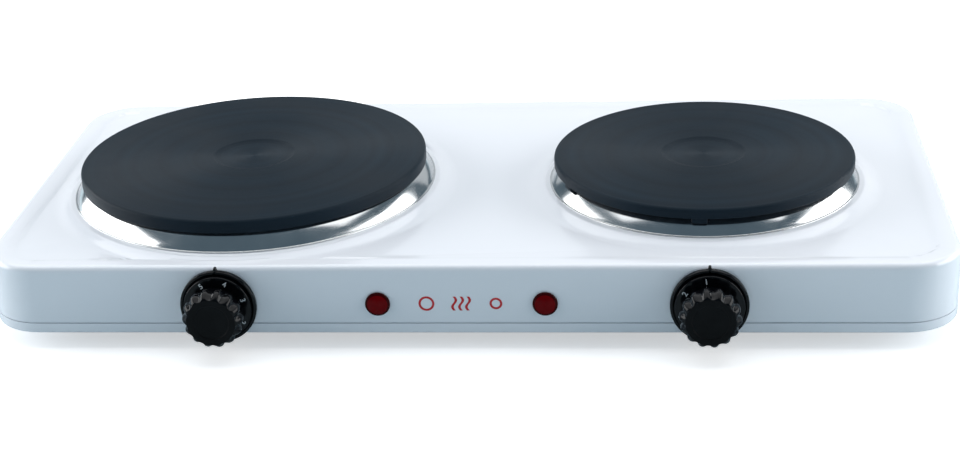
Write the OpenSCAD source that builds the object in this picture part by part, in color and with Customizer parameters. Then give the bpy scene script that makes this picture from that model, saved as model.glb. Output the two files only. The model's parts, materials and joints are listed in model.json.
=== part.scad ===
// Electric hot plate with two cast-iron cooking plates, two thermostat knobs and two pilot lamps.
// Millimetres. Z is up and the table is at z = 0. X runs along the front, and the knobs face -Y.
// The origin is under the middle of the object, knobs and cable gland included.

/* [Housing] */
// Width of the housing
body_w = 483; // [475:1:600]
// Depth of the housing
body_d = 236; // [230:1:290]
// Height of the housing from the underside of its pan to its raised border
body_h = 36; // [35:1:44]
// Radius of the corners seen from above
corner_r = 28; // [22:1:40]
// Radius of the rolled edge between top and walls
edge_r = 3; // [2:0.5:7]
// Thickness of the steel sheet
sheet_t = 0.8; // [0.6:0.1:1.2]
// Width of the raised border, rolled edge included
border_w = 12; // [11:0.5:16]
// Height of the border over the cooking panel
border_step = 1.2; // [0.6:0.1:2]
// Height of the raised seat of each hotplate over the border
seat_rise = 1.5; // [1:0.1:3]
// Width of the slope around each seat
seat_slope = 11; // [8:0.5:14]
// Visible height of the base pan below the seam
pan_h = 5.2; // [4:0.2:5.6]
// Open seam between housing and pan
seam_gap = 0.6; // [0.2:0.1:1]
// Height by which the pan reaches up inside the housing
pan_lap = 4.2; // [3:0.1:4.5]

/* [Hotplates] */
// Diameter of the left hotplate
left_plate_d = 185; // [165:1:190]
// Diameter of the right hotplate
right_plate_d = 157; // [130:1:185]
// Distance between the centres of the hotplates
plate_spacing = 240; // [225:1:270]
// Distance from the middle of the housing forward to the hotplates
plate_forward = 8.5; // [0:0.5:12]
// Height of the left cooking face over the border
left_plate_rise = 17; // [15:0.2:22]
// Height of the right cooking face over the border
right_plate_rise = 15.8; // [15:0.2:22]
// Height of the left plate's outer rim
left_rim_h = 6.6; // [5:0.2:9]
// Height of the right plate's outer rim
right_rim_h = 5.2; // [5:0.2:9]
// Thickness of the cast iron over the heating grooves
web_t = 6.5; // [5:0.5:8]
// Radius of the shallow recess in the middle of each cooking face
centre_r = 22; // [15:1:30]
// Depth of that recess
centre_depth = 1; // [0.5:0.1:2]
// Heating grooves in each plate
groove_count = 3; // [2:1:3]
// Width of a heating groove
groove_w = 8; // [6:0.5:9]
// Width of the rib between two grooves
rib_w = 3.5; // [2.5:0.5:5]
// Diameter of the heating coil
coil_d = 4.6; // [3:0.2:5]
// Diameter of the stud that holds each plate down
stud_d = 8; // [6:0.5:10]

/* [Controls] */
// Height of the knob shafts over the underside of the pan
shaft_z = 15.6; // [15.4:0.1:20]
// Diameter of the dial plate behind each knob
dial_d = 38; // [36:0.5:42]
// Thickness of the dial plate
dial_t = 2.4; // [2:0.1:4]
// Diameter of the knob's numbered skirt
skirt_d = 34; // [31:0.5:34.5]
// Diameter of the knob's grip over its lobes
grip_d = 30; // [26:0.5:31]
// Lobes round the grip
grip_lobes = 14; // [8:1:18]
// Distance from the front wall to the knob's face
knob_reach = 20.5; // [18:0.5:28]
// Diameter of the thermostat shaft
shaft_d = 6; // [5:0.1:7]
// Degrees that each knob turns from off to full
knob_travel = 250; // [240:5:300]
// Degrees that the left knob is turned from off at rest
left_turn = 220; // [0:1:240]
// Degrees that the right knob is turned from off at rest
right_turn = 43; // [0:1:240]
// Distance of the pilot lamps from the middle
lamp_x = 41; // [30:1:60]
// Height of the pilot lamps over the underside of the pan
lamp_z = 16.1; // [16:0.1:20]
// Diameter of the pilot lamp's lens
lamp_d = 12.3; // [11:0.1:13.4]

/* [Feet and cable] */
// Height of the rubber feet
foot_h = 9; // [8:0.5:16]
// Diameter of the rubber feet
foot_d = 22; // [16:1:28]
// Distance from the housing's sides to the middle of a foot
foot_inset = 36; // [30:1:50]
// Diameter of the mains cable that the gland takes
cable_d = 7; // [5:0.2:8]

/* [Hidden] */
$fn = 96;
LEFT = 0;
RIGHT = 1;
SIDES = [LEFT, RIGHT];
fit = 0.05;
gap = 0.3;
thread_r = 1.95;
head_r = 3.5;
head_h = 2;

front_y = -body_d / 2;
back_y = body_d / 2;
pan_z = foot_h;
floor_z = pan_z + sheet_t;
pan_rim_z = pan_z + pan_h;
lap_z = pan_rim_z + pan_lap;
skirt_z = pan_rim_z + seam_gap;
top_z = pan_z + body_h;
panel_z = top_z - border_step;
seat_z = top_z + seat_rise;

plate_r = [left_plate_d / 2, right_plate_d / 2];
plate_x = [-plate_spacing / 2, plate_spacing / 2];
plate_y = -plate_forward;
face_z = [top_z + left_plate_rise, top_z + right_plate_rise];
rim_z = [face_z[LEFT] - left_rim_h, face_z[RIGHT] - right_rim_h];
web_z = [face_z[LEFT] - web_t, face_z[RIGHT] - web_t];
plate_wall_r = [plate_r[LEFT] - 8.5, plate_r[RIGHT] - 8.5];
plate_wall_w = 4;
plate_foot_z = seat_z - 4.5;
opening_r = [plate_wall_r[LEFT] + 4, plate_wall_r[RIGHT] + 4];
ring_r = [plate_r[LEFT] + 4.5, plate_r[RIGHT] + 2.5];
ring_top_r = [plate_r[LEFT] - 3, plate_r[RIGHT] - 6.5];
ring_t = 0.6;
ring_lip = 1.5;
seat_crest = [ring_r[LEFT] + 2, ring_r[RIGHT] + 2];
lug_angles = [[], [-155, -93, 27, 89, 145]];
boss_r = 11;
rib_h = 9;
cement_h = 5;
coil_z = [web_z[LEFT] - cement_h, web_z[RIGHT] - cement_h];
shield_t = 0.8;
shield_z = plate_foot_z - shield_t;
stud_top = 1;

bar_t = 2;
bar_w = 22;
bar_drop = 2;
bar_z = shield_z - bar_drop - bar_t;
bar_leg = 3;
bar_foot = 4.5;
washer_t = 1.2;
washer_r = stud_d;
nut_h = 6;
nut_r = stud_d * 0.93;
pan_nut_h = 4.5;
stud_end_z = pan_z - washer_t - pan_nut_h - 0.6;
heater_block = [26, 13, 8];
pin_r = 1;
pin_x = 6;
pin_tail = 4;

shaft_axis_z = pan_z + shaft_z;
lamp_axis_z = pan_z + lamp_z;
dial_lip = 0.6;
skirt_back = dial_t + 0.6;
skirt_t = 2;
knob_wall = 2.2;
knob_boss_r = 6;
shaft_reach = 13;
bush_r = 5;
fixing_x = 12;
recess_h = 1.5;
frame_t = 1.5;
frame_w = 40;
frame_low = shaft_axis_z - lap_z - gap;
frame_high = 12;
frame_depth = 24;
base_t = 5;
journal_r = shaft_d / 3;
cam_y = 8;
cam_t = 4;
cam_low = 5;
cam_lift = 1.5;
lever_t = 2;
lever_w = 3;
lever_gap = 0.25;
lever_x = cam_low + lever_gap + lever_t / 2;
lever_z = 9.5;
lever_end = 3;
lever_pin_r = 1;
button_h = 0.8;
contact_x = lever_x + lever_t / 2 + button_h + 2.5;
contact_t = 0.8;
contact_tab = 8;
lever_travel = atan(cam_lift / lever_z);
rest_turn = [left_turn, right_turn];

lens_wall = 1.7;
stem_r = lamp_d / 2 - 1.15;
stem_len = 9;
clip_t = 0.8;
clip_r = min(stem_r + 1.8, lamp_z - pan_h - pan_lap - 0.2);

mid_x = (plate_x[LEFT] + ring_r[LEFT] + plate_x[RIGHT] - ring_r[RIGHT]) / 2;
gland_z = pan_z + 18;
gland_r = 9;
gland_flange = 3;
gland_inside = 14;
gland_stem_r = cable_d / 2 + 2.9;
gland_nut_h = 4;
cable_bore_r = cable_d / 2 + 0.1;
bracket_y = 62;
bracket_z = lap_z + 0.9;
bracket_t = 1.2;
bracket_w = 16;
bracket_x = body_w / 2 - 16;
foot_x = body_w / 2 - foot_inset;
foot_y = body_d / 2 - foot_inset;
mains_block = [34, 18, 14];
mains_y = back_y - 58;
wire_d = 2.2;
wire_bend = 2;
low_wire_z = floor_z + 4;
high_wire_z = floor_z + 9;
wire_pitch = 10;
wire_hole_r = wire_d / 2 + 0.3;

knob_face_y = front_y - knob_reach;
gland_face_y = back_y + gland_flange;
origin_y = -(knob_face_y + gland_face_y) / 2;

// ---- helpers ----

// Moves a piece from the housing's own middle to the origin of the whole object.
module placed() {
    translate([0, origin_y, 0]) children();
}

// Carries a profile, drawn with x outward from the corner centre and y up, round the housing.
module around() {
    for (turn = [0, 90, 180, 270]) {
        across = turn % 180 == 0 ? body_w : body_d;
        along = turn % 180 == 0 ? body_d : body_w;
        rotate([0, 0, turn]) translate([across / 2 - corner_r, along / 2 - corner_r, 0]) {
            rotate_extrude(angle = 90) children();
            rotate([90, 0, 0]) linear_extrude(along - 2 * corner_r) children();
        }
    }
}

// Flat sheet between the four corner centres, where the carried profile ends.
module middle_sheet(z) {
    w = body_w - 2 * corner_r;
    d = body_d - 2 * corner_r;
    translate([-w / 2, -d / 2, z]) cube([w, d, sheet_t]);
}

// Quarter of a sheet bend, in the first quadrant, with outer radius r.
module sheet_bend(r) {
    difference() {
        intersection() {
            circle(r);
            square(r);
        }
        circle(r - sheet_t);
    }
}

// Ring of rectangular section about the z axis.
module washer(r_in, r_out, h) {
    difference() {
        cylinder(r = r_out, h = h);
        translate([0, 0, -1]) cylinder(r = r_in, h = h + 2);
    }
}

// Hexagon nut about the z axis, r over its corners.
module hex_nut(r_in, r, h) {
    difference() {
        cylinder(r = r, h = h, $fn = 6);
        translate([0, 0, -1]) cylinder(r = r_in, h = h + 2);
    }
}

module at_plate(side) {
    translate([plate_x[side], plate_y, 0]) children();
}

// Frame of a control: origin on the outer face of the front wall, y pointing into the housing.
module at_control(side) {
    translate([plate_x[side], front_y, shaft_axis_z]) children();
}

// Cylinder along y from y0 to y1, seen with x to the right and z up.
module rod(x, z, r, y0, y1) {
    translate([x, y0, z]) rotate([-90, 0, 0]) cylinder(r = r, h = y1 - y0);
}

// Profile with x as radius and y as distance in front of the wall, turned about the control axis.
module turned() {
    rotate([90, 0, 0]) rotate_extrude() children();
}

// Flat shape drawn with x to the right and y up, as thick as y0 to y1.
module plate_between(y0, y1) {
    translate([0, y1, 0]) rotate([90, 0, 0]) linear_extrude(y1 - y0) children();
}

function groove_out(side, i) = plate_wall_r[side] - plate_wall_w - i * (groove_w + rib_w);
function groove_mid(side, i) = groove_out(side, i) - groove_w / 2;
function pin_y(side) = plate_y - groove_mid(side, groove_count - 1);

// Wire through the points of route, each leg along one axis, with a round bend at each corner.
module wire(route) {
    last = len(route) - 1;
    for (i = [0 : last - 1]) {
        leg = route[i + 1] - route[i];
        u = leg / norm(leg);
        start = route[i] + u * (i == 0 ? 0 : wire_bend);
        finish = route[i + 1] - u * (i == last - 1 ? 0 : wire_bend);
        a = abs(u[2]) > 0.5 ? [1, 0, 0] : [0, 0, 1];
        b = cross(u, a);
        multmatrix([[a[0], b[0], u[0], start[0]],
                    [a[1], b[1], u[1], start[1]],
                    [a[2], b[2], u[2], start[2]]])
            cylinder(d = wire_d, h = norm(finish - start), $fn = 32);
    }
    for (i = [1 : 1 : last - 1]) {
        u = (route[i] - route[i - 1]) / norm(route[i] - route[i - 1]);
        v = (route[i + 1] - route[i]) / norm(route[i + 1] - route[i]);
        n = cross(-v, u);
        centre = route[i] + wire_bend * (v - u);
        multmatrix([[-v[0], u[0], n[0], centre[0]],
                    [-v[1], u[1], n[1], centre[1]],
                    [-v[2], u[2], n[2], centre[2]]])
            rotate_extrude(angle = 90) translate([wire_bend, 0]) circle(d = wire_d, $fn = 32);
    }
}

// ---- housing, pan and feet ----

module housing_section() {
    foot = corner_r - border_w;
    crest = foot + 2.5;
    bend = corner_r - edge_r;
    translate([corner_r - sheet_t, skirt_z]) square([sheet_t, top_z - edge_r - skirt_z]);
    translate([bend, top_z - edge_r]) sheet_bend(edge_r);
    translate([crest, top_z - sheet_t]) square([bend - crest, sheet_t]);
    polygon([[foot, panel_z], [crest, top_z], [crest, top_z - sheet_t], [foot, panel_z - sheet_t]]);
    translate([0, panel_z - sheet_t]) square([foot, sheet_t]);
}

// Raised seat under a trim ring: flat, then an S-shaped slope that is steepest near the top.
module seat(side) {
    crest = seat_crest[side];
    keep_d = body_d - 2 * edge_r + 1;
    steps = 8;
    function eased(u) = 3 * u * u - 2 * u * u * u;
    function slope_point(i) = [crest + seat_slope * i / steps,
                               seat_z - (seat_z - panel_z) * eased(pow(i / steps, 0.6))];
    intersection() {
        at_plate(side) rotate_extrude()
            polygon([[opening_r[side], seat_z], for (i = [0 : steps]) slope_point(i),
                     for (i = [steps : -1 : 0]) slope_point(i) - [0, sheet_t],
                     [opening_r[side], seat_z - sheet_t]]);
        translate([-body_w / 2, -keep_d / 2, 0]) cube([body_w, keep_d, seat_z + 1]);
    }
}

module front_wall_holes() {
    for (side = SIDES)
        at_control(side) {
            rod(0, 0, bush_r + 0.2, -1, edge_r);
            for (x = [-fixing_x, fixing_x])
                rod(x, 0, thread_r + 0.25, -1, edge_r);
        }
    for (x = [-lamp_x, lamp_x])
        rod(x, lamp_axis_z, stem_r + 0.1, front_y - 1, front_y + edge_r);
}

module top_housing() {
    color("white") placed() difference() {
        union() {
            difference() {
                union() {
                    around() housing_section();
                    middle_sheet(panel_z - sheet_t);
                }
                for (side = SIDES)
                    at_plate(side) translate([0, 0, panel_z - sheet_t - 1])
                        cylinder(r = seat_crest[side] + 2, h = border_step + sheet_t + 2);
            }
            for (side = SIDES)
                seat(side);
        }
        front_wall_holes();
        rod(mid_x, gland_z, gland_stem_r + 0.1, back_y - edge_r, back_y + 1);
    }
}

module pan_section() {
    bend = sheet_t + 0.2;
    flange_r = corner_r - 2 * sheet_t - gap;
    translate([0, pan_z]) square([corner_r - bend, sheet_t]);
    translate([corner_r - bend, pan_z + bend]) mirror([0, 1]) sheet_bend(bend);
    translate([corner_r - sheet_t, pan_z + bend]) square([sheet_t, pan_h - bend]);
    translate([flange_r, pan_rim_z - sheet_t]) square([corner_r - flange_r, sheet_t]);
    translate([flange_r, pan_rim_z - sheet_t]) square([sheet_t, pan_lap + sheet_t]);
}

// Pressed pocket that brings the pan up to a fixing bracket, or its hollow, which is smaller by
// shrink all over and starts below the pan.
module pocket(shrink, below) {
    h = bracket_z - pan_z;
    lean = 2.5 / h;
    translate([0, 0, pan_z - below])
        cylinder(r1 = 9 - shrink + lean * below, r2 = 6.5 - shrink + lean * shrink, h = h - shrink + below);
}

module vent_slot() {
    length = 26;
    width = 4;
    linear_extrude(sheet_t + 2) {
        square([width, length - width], center = true);
        for (y = [-1, 1])
            translate([0, y * (length - width) / 2]) circle(d = width);
    }
}

module vents(side) {
    for (y = [-44, 44], i = [-3 : 3])
        at_plate(side) translate([i * 12, y, pan_z - 1]) vent_slot();
}

module at_brackets() {
    for (x = [-bracket_x, bracket_x], y = [-bracket_y, bracket_y])
        translate([x, y, 0]) children();
}

module at_feet() {
    for (x = [-foot_x, foot_x], y = [-foot_y, foot_y])
        translate([x, y, 0]) children();
}

module base_pan() {
    color("silver") placed() difference() {
        union() {
            around() pan_section();
            middle_sheet(pan_z);
            at_brackets() pocket(0, 0);
        }
        at_brackets() {
            pocket(sheet_t, 1);
            translate([0, 0, pan_z]) cylinder(r = thread_r + 0.25, h = 20);
        }
        at_feet() translate([0, 0, pan_z - 1]) cylinder(r = thread_r + fit, h = sheet_t + 2);
        for (side = SIDES) {
            vents(side);
            at_plate(side) translate([0, 0, pan_z - 1]) cylinder(r = stud_d / 2 + gap, h = sheet_t + 2);
        }
        at_earth() translate([0, 0, pan_z - 1]) cylinder(r = thread_r + 0.2, h = sheet_t + 2);
    }
}

// Bent steel tabs, welded inside the side walls, that take the pan's screws.
module fixing_brackets() {
    wall_x = body_w / 2 - sheet_t;
    color("silver") placed() for (side = [0, 1], y = [-bracket_y, bracket_y])
        mirror([side, 0, 0]) translate([0, y - bracket_w / 2, 0]) difference() {
            union() {
                translate([bracket_x - 8, 0, bracket_z])
                    cube([wall_x - bracket_x + 8, bracket_w, bracket_t]);
                translate([wall_x - bracket_t, 0, bracket_z]) cube([bracket_t, bracket_w, 12]);
            }
            translate([bracket_x, bracket_w / 2, bracket_z - 1])
                cylinder(r = thread_r + fit, h = bracket_t + 2);
        }
}

module screw_up(head_z, tip_z) {
    translate([0, 0, head_z - head_h]) cylinder(r = head_r, h = head_h);
    translate([0, 0, head_z]) cylinder(r = thread_r, h = tip_z - head_z);
}

module pan_screws() {
    color("silver") placed() at_brackets() screw_up(bracket_z - sheet_t, bracket_z + bracket_t + 3);
}

module foot(sx, sy) {
    screw_seat = foot_h - 4;
    color("black") placed() translate([sx * foot_x, sy * foot_y, 0]) difference() {
        cylinder(r1 = foot_d / 2 - 1.5, r2 = foot_d / 2, h = foot_h);
        translate([0, 0, -1]) cylinder(r = head_r + gap, h = screw_seat + 1);
        cylinder(r = thread_r + fit, h = foot_h + 1);
    }
}

module foot_screws() {
    color("silver") placed() at_feet() screw_up(foot_h - 4, floor_z + 4);
}

// ---- hotplates ----

// Half section of the casting: face with overhanging rim, outer wall, ribs and central boss.
module hotplate_section(side) {
    r = plate_r[side];
    face = face_z[side];
    round_r = 2;
    difference() {
        union() {
            translate([0, web_z[side]]) square([plate_wall_r[side], face - web_z[side]]);
            translate([plate_wall_r[side] - plate_wall_w, rim_z[side]])
                square([r - plate_wall_r[side] + plate_wall_w, face - rim_z[side]]);
            translate([plate_wall_r[side] - plate_wall_w, plate_foot_z])
                square([plate_wall_w, web_z[side] - plate_foot_z]);
            for (i = [0 : groove_count - 1])
                translate([groove_out(side, i) - groove_w - rib_w, web_z[side] - rib_h])
                    square([rib_w, rib_h]);
            translate([0, plate_foot_z]) square([boss_r, web_z[side] - plate_foot_z]);
        }
        difference() {
            translate([r - round_r, face - round_r]) square(round_r + 1);
            translate([r - round_r, face - round_r]) circle(round_r);
        }
        polygon([[0, face - centre_depth], [centre_r - 1.5, face - centre_depth],
                 [centre_r, face], [centre_r, face + 1], [0, face + 1]]);
        translate([0, plate_foot_z - 1])
            square([stud_d / 2 + fit, web_z[side] + stud_top - plate_foot_z + 1]);
    }
}

module hotplate(side) {
    lug_h = 3;
    lug_r = [plate_r[side] - 3, plate_r[side] - 0.8];
    color("#2d363d") placed() at_plate(side) {
        rotate_extrude() hotplate_section(side);
        for (angle = lug_angles[side])
            rotate([0, 0, angle]) translate([lug_r[0], -4, rim_z[side] - lug_h])
                cube([lug_r[1] - lug_r[0], 8, lug_h + 1]);
    }
}

// Polished ring that stands on the seat and leans in to the underside of the plate's rim.
module trim_ring(side) {
    r = ring_r[side];
    top_r = ring_top_r[side];
    color("#d8dadc") placed() at_plate(side) rotate_extrude()
        polygon([[r - 3, seat_z], [r, seat_z], [r, seat_z + ring_t], [top_r, rim_z[side]],
                 [top_r - ring_lip, rim_z[side]], [top_r - ring_lip, rim_z[side] - ring_t],
                 [top_r - ring_t / 2, rim_z[side] - ring_t], [r - 1, seat_z + ring_t],
                 [r - 3, seat_z + ring_t]]);
}

module heating_coils(side) {
    color("#b08d57") placed() at_plate(side) for (i = [0 : groove_count - 1])
        rotate_extrude() translate([groove_mid(side, i), coil_z[side]]) circle(d = coil_d);
}

// Insulating cement that fills each groove down to the middle of the coil.
module coil_cement(side) {
    color("#d9d4c7") placed() at_plate(side) for (i = [0 : groove_count - 1])
        rotate_extrude() difference() {
            translate([groove_out(side, i) - groove_w, coil_z[side]]) square([groove_w, cement_h]);
            translate([groove_mid(side, i), coil_z[side]]) circle(d = coil_d);
        }
}

module at_pins(side) {
    for (x = [-pin_x, pin_x])
        translate([plate_x[side] + x, pin_y(side), 0]) children();
}

module heat_shield(side) {
    color("silver") placed() difference() {
        at_plate(side) translate([0, 0, shield_z])
            washer(stud_d / 2 + 0.2, plate_wall_r[side], shield_t);
        at_pins(side) translate([0, 0, shield_z - 1]) cylinder(r = pin_r + 1, h = shield_t + 2);
    }
}

module plate_stud(side) {
    color("silver") placed() at_plate(side) translate([0, 0, stud_end_z])
        cylinder(r = stud_d / 2, h = web_z[side] + stud_top - 0.2 - stud_end_z);
}

// Bar that pulls the plate down: its ends bear on the underside of the seat.
module clamp_bar(side) {
    leg = opening_r[side] + bar_leg;
    tip = leg + bar_foot;
    head = seat_z - sheet_t;
    half = [[0, bar_z], [leg + bar_t, bar_z], [leg + bar_t, head - bar_t], [tip, head - bar_t],
            [tip, head], [leg, head], [leg, bar_z + bar_t], [0, bar_z + bar_t]];
    color("silver") placed() at_plate(side) difference() {
        for (flip = [0, 1])
            mirror([flip, 0, 0]) plate_between(-bar_w / 2, bar_w / 2) polygon(half);
        translate([0, 0, bar_z - 1]) cylinder(r = stud_d / 2 + gap, h = bar_t + 2);
    }
}

module stud_nuts(side) {
    thread = stud_d / 2 + fit;
    color("silver") placed() at_plate(side) {
        translate([0, 0, bar_z - washer_t]) washer(thread, washer_r, washer_t);
        translate([0, 0, bar_z - washer_t - nut_h]) hex_nut(thread, nut_r, nut_h);
        translate([0, 0, pan_z - washer_t]) washer(thread, washer_r, washer_t);
        translate([0, 0, pan_z - washer_t - pan_nut_h]) hex_nut(thread, nut_r, pan_nut_h);
    }
}

module heater_terminal_block(side) {
    size = heater_block;
    color("ivory") placed() difference() {
        translate([plate_x[side] - size[0] / 2, pin_y(side) - size[1] / 2, shield_z - size[2]]) cube(size);
        at_pins(side) translate([0, 0, shield_z - size[2] - 1]) cylinder(r = pin_r + fit, h = size[2] + 2);
    }
}

module heater_pins(side) {
    low = shield_z - heater_block[2] - pin_tail;
    color("silver") placed() at_pins(side) translate([0, 0, low])
        cylinder(r = pin_r, h = coil_z[side] - coil_d / 2 - low);
}

// ---- controls ----

module dial_plate(side) {
    r = dial_d / 2;
    color("#15161a") placed() at_control(side) difference() {
        union() {
            rod(0, 0, r, -dial_t, 0);
            turned() translate([skirt_d / 2 + 0.4, 0]) square([r - skirt_d / 2 - 0.4, dial_t + dial_lip]);
            plate_between(-dial_t, 0) polygon([[-2.4, r - 1], [2.4, r - 1], [0.5, r + 2], [-0.5, r + 2]]);
        }
        rod(0, 0, bush_r + fit, -dial_t - 1, 1);
        for (x = [-fixing_x, fixing_x]) {
            rod(x, 0, head_r - 0.2, -dial_t - 1, -dial_t + recess_h);
            rod(x, 0, thread_r + 0.25, -dial_t - 1, 1);
        }
    }
}

module thermostat_screws() {
    color("silver") placed() for (side = SIDES, x = [-fixing_x, fixing_x])
        at_control(side) {
            rod(x, 0, head_r - 0.5, -dial_t, -dial_t + recess_h);
            rod(x, 0, thread_r, -dial_t + recess_h - 0.5, sheet_t + frame_t + 1.5);
        }
}

// End of the shaft from y0 to y1 with its flat, for the shaft itself or for the knob's bore.
module flatted_rod(r, y0, y1) {
    difference() {
        rod(0, 0, r, y0, y1);
        translate([-r, y0 - 1, r * 0.6]) cube([2 * r, y1 - y0 + 2, r]);
    }
}

// Half section of the knob before its grip is scalloped: a skirt, and a grip that widens from its
// root to the front and slopes in to a dished face.
module knob_section() {
    r = grip_d / 2;
    skirt_r = skirt_d / 2;
    root_r = r - 3.5;
    slope = 4.5;
    face_r = r - slope;
    skirt_top = skirt_back + skirt_t;
    difference() {
        union() {
            polygon([[0, skirt_back], [skirt_r, skirt_back], [skirt_r, skirt_top - 1],
                     [skirt_r - 2, skirt_top], [0, skirt_top]]);
            polygon([[0, skirt_top - 0.5], [root_r, skirt_top - 0.5], [root_r, skirt_top],
                     [r, knob_reach - slope - 3], [r, knob_reach - slope], [face_r, knob_reach],
                     [0, knob_reach]]);
        }
        polygon([[0, knob_reach - 0.6], [face_r - 1.3, knob_reach - 0.6],
                 [face_r - 0.7, knob_reach], [face_r - 0.7, knob_reach + 1], [0, knob_reach + 1]]);
        translate([knob_boss_r, skirt_back - 1])
            square([root_r - knob_wall - knob_boss_r, knob_reach - knob_wall - skirt_back + 0.4]);
    }
}

module knob(side) {
    bore_end = shaft_reach + gap;
    scallop_r = 2;
    scallop_depth = 1.2;
    ledge = 0.3;
    color("#101114") placed() at_control(side) rotate([0, rest_turn[side], 0]) difference() {
        turned() knob_section();
        for (i = [0 : grip_lobes - 1])
            rotate([0, (i + 0.5) * 360 / grip_lobes, 0])
                rod(grip_d / 2 + scallop_r - scallop_depth, 0, scallop_r,
                    -knob_reach - 1, -skirt_back - skirt_t - ledge);
        flatted_rod(shaft_d / 2 + fit, -bore_end, -skirt_back + 1);
    }
}

// Steel bracket behind the front wall, with the threaded bush that carries the shaft.
module thermostat_frame(side) {
    half = frame_w / 2;
    inner = sheet_t + frame_t;
    color("silver") placed() at_control(side) difference() {
        union() {
            translate([-half, sheet_t, -frame_low]) cube([frame_w, frame_t, frame_low + frame_high]);
            for (x = [-half, half - frame_t])
                translate([x, sheet_t, -frame_low])
                    cube([frame_t, frame_depth - sheet_t, frame_low + frame_high]);
            rod(0, 0, bush_r, -dial_t, inner);
            rod(lever_x, lever_z, lever_pin_r, inner - 0.5, frame_depth - base_t);
        }
        rod(0, 0, shaft_d / 2 + fit, -dial_t - 1, inner + 1);
        for (x = [-fixing_x, fixing_x])
            rod(x, 0, thread_r + fit, 0, inner + 1);
    }
}

module contact_strip() {
    translate([contact_x, cam_y, -4]) cube([contact_t, frame_depth - cam_y + contact_tab, 7]);
}

module thermostat_base(side) {
    half = frame_w / 2 - frame_t;
    color("ivory") placed() at_control(side) difference() {
        translate([-half, frame_depth - base_t, -frame_low])
            cube([2 * half, base_t, frame_low + frame_high]);
        rod(0, 0, journal_r + fit, frame_depth - base_t - 1, frame_depth + 1);
        contact_strip();
        rod(-contact_x, 0, wire_d / 2 + fit, frame_depth - base_t / 2, frame_depth + 1);
    }
}

module thermostat_shaft(side) {
    shoulder = frame_depth - base_t - gap;
    flat_z = shaft_d / 2 * 0.6;
    color("silver") placed() at_control(side) rotate([0, rest_turn[side], 0]) {
        difference() {
            rod(0, 0, shaft_d / 2, -shaft_reach, shoulder);
            translate([-shaft_d / 2, -shaft_reach - 1, flat_z])
                cube([shaft_d, shaft_reach - skirt_back + 1, shaft_d]);
        }
        rod(0, 0, journal_r, shoulder, frame_depth + 0.5);
    }
}

// Cam whose radius grows evenly over the knob's travel and then drops back.
module cam(side) {
    step = 5;
    function reach(a) = cam_low + cam_lift * (a < knob_travel ? a / knob_travel
                                                              : (360 - a) / (360 - knob_travel));
    color("#c8b27a") placed() at_control(side) rotate([0, rest_turn[side], 0]) difference() {
        plate_between(cam_y, cam_y + cam_t)
            polygon([for (a = [0 : step : 360 - step]) reach(a) * [cos(a), sin(a)]]);
        rod(0, 0, shaft_d / 2, cam_y - 1, cam_y + cam_t + 1);
    }
}

// Lever that hangs beside the cam and is pushed out as the knob is turned up.
module contact_lever(side) {
    middle = cam_y + cam_t / 2;
    swing = lever_travel * rest_turn[side] / knob_travel;
    color("#b8863b") placed() at_control(side) translate([lever_x, middle, lever_z])
        rotate([0, -swing, 0]) {
            plate_between(-lever_w / 2, lever_w / 2) difference() {
                union() {
                    circle(2.6);
                    translate([-lever_t / 2, -lever_z - lever_end]) square([lever_t, lever_z + lever_end]);
                }
                circle(lever_pin_r + fit);
            }
            translate([lever_t / 2, 0, -lever_z - 1.5]) rotate([0, 90, 0]) cylinder(r = 1.2, h = button_h);
        }
}

module fixed_contact(side) {
    color("#b8863b") placed() at_control(side) contact_strip();
}

// ---- pilot lamps ----

module at_lamp(side) {
    translate([(side == LEFT ? -1 : 1) * lamp_x, front_y, lamp_axis_z]) children();
}

// Domed red lens with a hollow stem that passes through the front wall.
module lamp_lens(side) {
    r = lamp_d / 2;
    rim = 1.2;
    dome_r = r - 0.9;
    ball_r = 9;
    centre = rim + 1.6 - ball_r;
    hollow = stem_r - lens_wall;
    color("#8e1010") placed() at_lamp(side) turned() difference() {
        union() {
            square([r, rim]);
            intersection() {
                translate([0, centre]) circle(ball_r);
                square([dome_r, rim + 2]);
            }
            translate([0, -stem_len]) square([stem_r, stem_len]);
        }
        translate([0, -stem_len - 1]) square([hollow, stem_len + 1.5]);
    }
}

module neon_bulb(side) {
    hollow = stem_r - lens_wall;
    glass_r = hollow - 0.7;
    color("#ffb08a") placed() at_lamp(side) {
        rod(0, 0, glass_r, glass_r, stem_len - 1.5);
        translate([0, glass_r, 0]) sphere(glass_r);
        rod(0, 0, hollow, stem_len - 1.5, stem_len);
    }
}

module lamp_clips() {
    color("silver") placed() for (side = SIDES)
        at_lamp(side) turned() translate([stem_r, -sheet_t - clip_t]) square([clip_r - stem_r, clip_t]);
}

// ---- cable inlet and wiring ----

module cable_gland() {
    color("#17181b") placed() difference() {
        union() {
            rod(mid_x, gland_z, gland_r, back_y, gland_face_y);
            rod(mid_x, gland_z, gland_stem_r, back_y - gland_inside, back_y);
        }
        rod(mid_x, gland_z, cable_bore_r, back_y - gland_inside - 1, gland_face_y + 1);
    }
}

module gland_nut() {
    color("#17181b") placed() translate([mid_x, back_y - sheet_t, gland_z]) rotate([90, 0, 0])
        hex_nut(gland_stem_r + fit, gland_stem_r + 2.4, gland_nut_h);
}

module at_terminals() {
    for (i = [-1, 0, 1])
        translate([mid_x + i * wire_pitch, mains_y, 0]) children();
}

module mains_terminal_block() {
    size = mains_block;
    color("ivory") placed() difference() {
        translate([mid_x - size[0] / 2, mains_y - size[1] / 2, floor_z]) cube(size);
        at_terminals() {
            for (z = [low_wire_z, high_wire_z])
                rod(0, z, wire_hole_r, -size[1], size[1]);
            for (y = [-5, 5])
                translate([0, y, high_wire_z]) cylinder(r = thread_r + fit, h = size[2]);
        }
    }
}

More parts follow.
